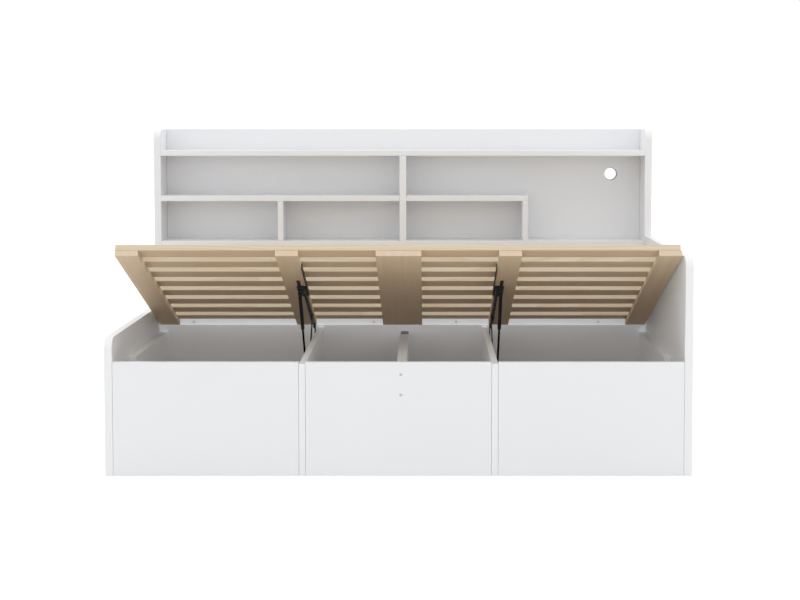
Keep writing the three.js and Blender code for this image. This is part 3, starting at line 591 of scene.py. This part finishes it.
# %% Screws of box and headboard
BOLT_HEAD = (0.005, 0.0016)  # m, radius and height
BEAM_SCREW_DROPS = (0.017, 0.087)  # below the top of the beam
WALL_SCREWS_ALONG = (-0.845, -0.117, 0.215, 0.789)
WALL_SCREW_LIFT = 0.009  # above the back board

beam_low, beam_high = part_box("centre_beam")
front_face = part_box("front_panel_centre")[0].y
beam_middle = (beam_low.x + beam_high.x) / 2
front_screws = [(beam_middle, front_face, beam_high.z - drop) for drop in BEAM_SCREW_DROPS]
screw_heads("screws_front_panel", "root", [(point, TO_FRONT) for point in front_screws], BOLT_HEAD, zinc)

wall_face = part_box("headboard_lower_panel")[0].y
wall_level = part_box("back_board")[1].z + WALL_SCREW_LIFT
wall_screws = [(x, wall_face, wall_level) for x in WALL_SCREWS_ALONG]
screw_heads("screws_headboard", "root", [(point, TO_FRONT) for point in wall_screws], BOLT_HEAD, zinc)

# %% [markdown]
# Each slat is screwed to every rail that it crosses, twice to the wide one in the middle. These screws
# are sunk into the wood, so they have flatter heads that stand out only a little.

# %% Screws of the slats
SLAT_HEAD = (0.0038, 0.0007)
CENTRE_SCREWS = 0.045  # from the middle of the bed

rails_across = [sum(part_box(name), Vector()).x / 2 for name in ("rail_right_middle", "rail_right_outer")]
slat_screws = [(Vector((side * x, middle.y, middle.z)) + base_up * SLAT_THICKNESS / 2, base_up)
               for middle in slat_middles for side in (-1, 1) for x in (CENTRE_SCREWS, *rails_across)]
screw_heads("screws_slats", "slatted_base", slat_screws, SLAT_HEAD, zinc)

# %% [markdown]
# The brackets hang under the rails, so their screws are driven from below and coated black like the
# brackets. The base plates are screwed sideways into the partitions. Both sides of the bed mirror each
# other.

# %% Screws of the lift
BRACKET_HEAD = (0.0042, 0.0014)
BRACKET_UNDER = -0.0033  # underside of its flange, from the underside of the rails
BRACKET_SCREWS = ((0.3663, 0.3157), (0.3548, 0.7347), (0.3548, 0.8847))  # across, and along the base
PLATE_HEAD = (0.0045, 0.0016)
PLATE_THICKNESS = 0.003
PLATE_SCREWS = ((0.1477, 0.2716), (0.1868, 0.322), (0.0252, 0.3004))  # Y and Z

plate_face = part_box("base_plate_right")[0].x + PLATE_THICKNESS
for side, word in ((-1, "left"), (1, "right")):
    under = [Vector((side * x, along, BRACKET_UNDER)) for x, along in BRACKET_SCREWS]
    screw_heads(f"screws_bracket_{word}", "slatted_base",
                [(base_origin + base_tilt @ point, -base_up) for point in under],
                BRACKET_HEAD, black_coat)
    screw_heads(f"screws_plate_{word}", "root",
                [((side * plate_face, y, z), (side, 0, 0)) for y, z in PLATE_SCREWS],
                PLATE_HEAD, zinc)

# %% [markdown]
# A gas strut is closed where its rod comes out by a plastic guide with a wiper lip, pressed into the
# tube. It is a short turned ring, as black and dull as the coated steel, so it shares that finish. The
# strut's place and direction are those of its two joints in the frame.

# %% Strut guides
TUBE_LENGTH = 0.2
GUIDE_SIDES = 32
# Radius and height, from the open end of the tube.
GUIDE = [(0.0042, -0.004), (0.0043, 0.0022), (0.0052, 0.0026), (0.0064, 0.0018), (0.0066, 0.0002),
         (0.0058, 0.0), (0.0048, -0.004)]

joints = {joint["name"]: joint for joint in frame["joints"]}
for word in ("left", "right"):
    pivot = Vector(joints[f"strut_{word}_turn"]["pos_m"])
    run = Vector(joints[f"strut_{word}_stroke"]["axis"])
    guide = bmesh.new()
    turned(guide, GUIDE, pivot + TUBE_LENGTH * run, run, GUIDE_SIDES, closed=True)
    add_piece(f"strut_guide_{word}", guide, black_coat, f"gas_cylinder_{word}")

# %% [markdown]
# Two grey pieces are left. The nylon of one is moulded, smooth and slightly glossy. The other is a thin
# matt grey sheet of painted shade, with no gloss at all and a fine rough surface. Each is one grey that
# varies a little, so one function makes both from their own values.

# %% Nylon and painted shade
SOFT_DEPTH = 0.0004  # m


def soft_grey(name, pale, deep, weave, roughness, bump):
    """Nylon, or the grey sheet of painted shade: a grey that varies over the length of its weave, in metres.
    """
    material, tree = new_material(name)
    place = node(tree, "ShaderNodeTexCoord")
    weft = node(tree, "ShaderNodeTexNoise", Vector=place.outputs["Object"], Scale=1 / weave, Detail=3.0)
    tone = node(tree, "ShaderNodeMix", {"data_type": "RGBA"}, _0=weft.outputs[0], _6=linear(pale),
                _7=linear(deep))
    raised = node(tree, "ShaderNodeBump", Strength=bump, Distance=SOFT_DEPTH, Height=weft.outputs[0])
    surface = node(tree, "ShaderNodeBsdfPrincipled", Base_Color=tone.outputs[2], Roughness=roughness,
                   Normal=raised.outputs[0])
    node(tree, "ShaderNodeOutputMaterial", Surface=surface.outputs[0])
    return material


nylon = soft_grey("moulded_grey_nylon", "#4E5053", "#45474A", weave=0.003, roughness=0.45, bump=0.03)
# painted shade: a matt grey for the shade on the back end of the beam
painted_shade_sheet = soft_grey("grey_felt", "#8B8C8F", "#747579", weave=0.0011, roughness=0.95, bump=0.5)
print("greys:", nylon.name, painted_shade_sheet.name)

# %% [markdown]
# A bush of nylon lines the cable hole, so that a cable doesn't rub on bare chips. It is a turned ring,
# moulded with a thicker wall at the back, so that it comes out of its mould.

# %% Cable bush
BUSH_SIDES = 64
BUSH_LENGTH = 0.017
# Radius and height, from its front end.
BUSH = [(0.0264, 0.0), (0.0264, BUSH_LENGTH), (0.0246, BUSH_LENGTH), (0.0243, BUSH_LENGTH - 0.0004),
        (0.0259, 0.0004), (0.0261, 0.0)]

bush = bmesh.new()
bush_place = hole_place - Vector((0, BUSH_LENGTH / 2, 0))
turned(bush, BUSH, bush_place, (0, 1, 0), BUSH_SIDES, closed=True)
add_piece("cable_bush", bush, nylon, "root")

# %% [markdown]
# A thin grey sheet lies on the beam at its back end, as painted shade for the dark patch of shade there.
# It is thinner than the gap that the lowered rail leaves, so a plain flat box is all that it needs.

# %% Painted shade on the beam
PAD_LENGTH = 0.095
PAD_THICKNESS = 0.0002
PAD_MARGIN = 0.0015  # beam left bare round the pad

# painted shade: this grey sheet darkens the back end of the beam's top
pad_low = Vector((beam_low.x + PAD_MARGIN, beam_high.y - PAD_MARGIN - PAD_LENGTH, beam_high.z))
pad_high = Vector((beam_high.x - PAD_MARGIN, beam_high.y - PAD_MARGIN, beam_high.z + PAD_THICKNESS))
pad = bmesh.new()
bmesh.ops.create_cube(pad, size=1, matrix=Matrix.LocRotScale((pad_low + pad_high) / 2, None,
                                                            pad_high - pad_low))
add_piece("felt_pad", pad, painted_shade_sheet, "root", smooth=False)
